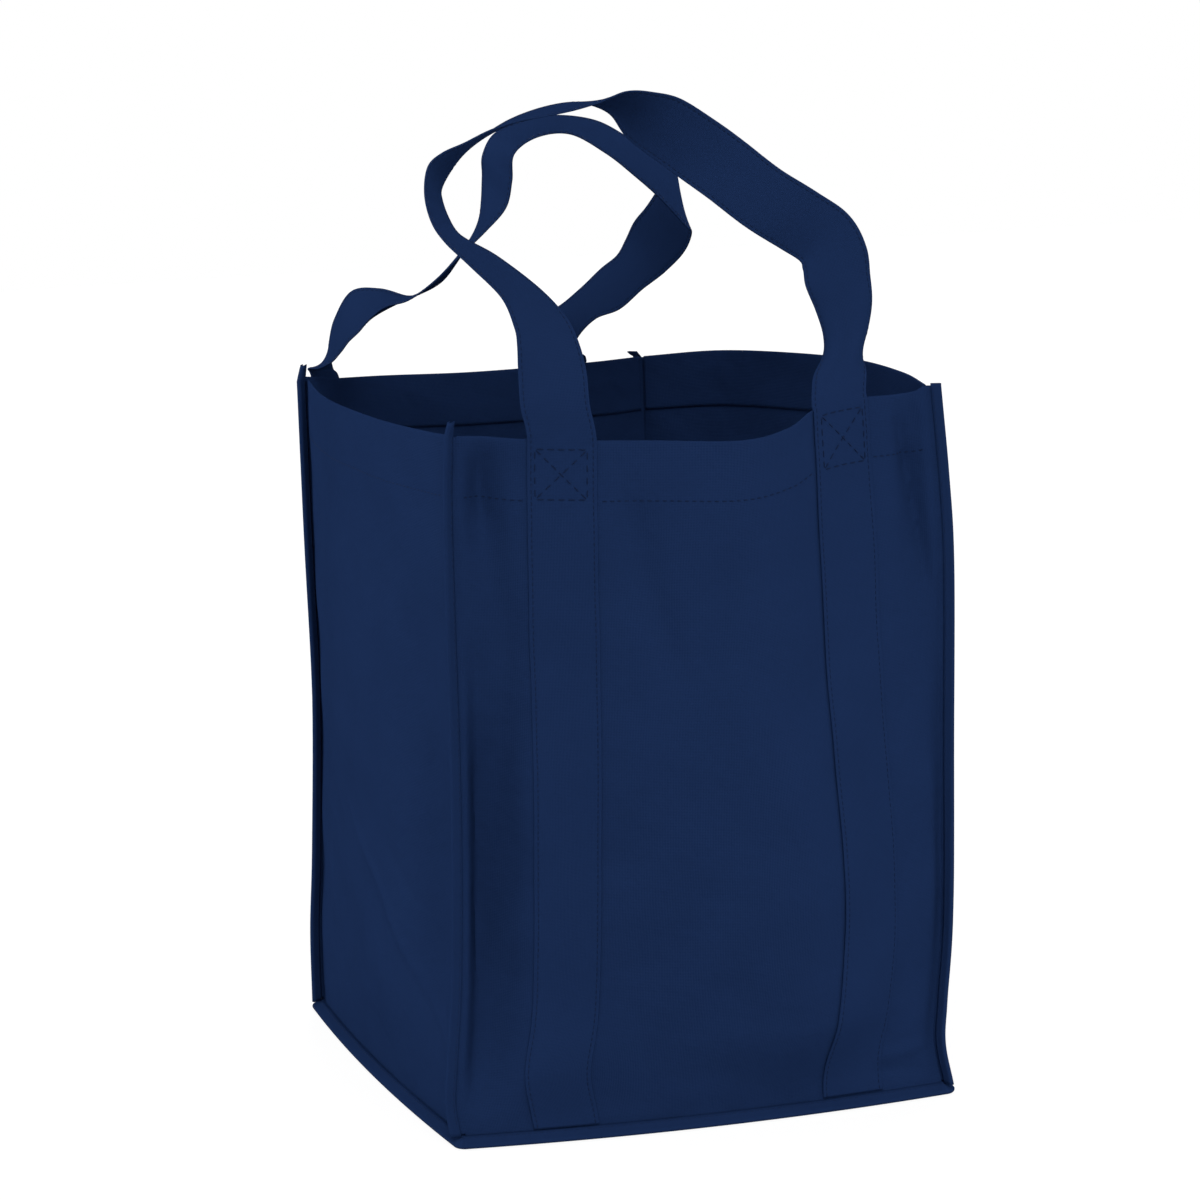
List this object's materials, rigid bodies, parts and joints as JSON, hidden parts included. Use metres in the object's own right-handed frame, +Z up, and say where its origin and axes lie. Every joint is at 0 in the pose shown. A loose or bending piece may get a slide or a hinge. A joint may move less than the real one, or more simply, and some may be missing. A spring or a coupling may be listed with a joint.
{
  "type": "non-woven tote bag",
  "caption": "Open-topped soft tote bag with square gussets, taped seams and long strap handles sewn up the front and the back.",
  "frame": {"origin": "on the surface the bag stands on, under the middle of its bottom", "axes": "+Z up, -Y out of the front panel, -X toward the left gusset"},
  "size_m": [0.3185, 0.3801, 0.5784],
  "materials": {
    "cloth": "matt navy non-woven cloth with fine bonded dots",
    "tape": "matt navy binding tape",
    "strap": "matt navy strap of folded non-woven cloth, edge-stitched"
  },
  "bodies": {
    "root": {"front_panel": "cloth", "right_gusset": "cloth", "back_panel": "cloth", "left_gusset": "cloth", "bottom_panel": "cloth", "binding_front_left": "tape", "binding_front_right": "tape", "binding_back_right": "tape", "binding_back_left": "tape", "bottom_binding": "tape", "front_handle": "strap", "back_handle": "strap"}
  },
  "joints": []
}
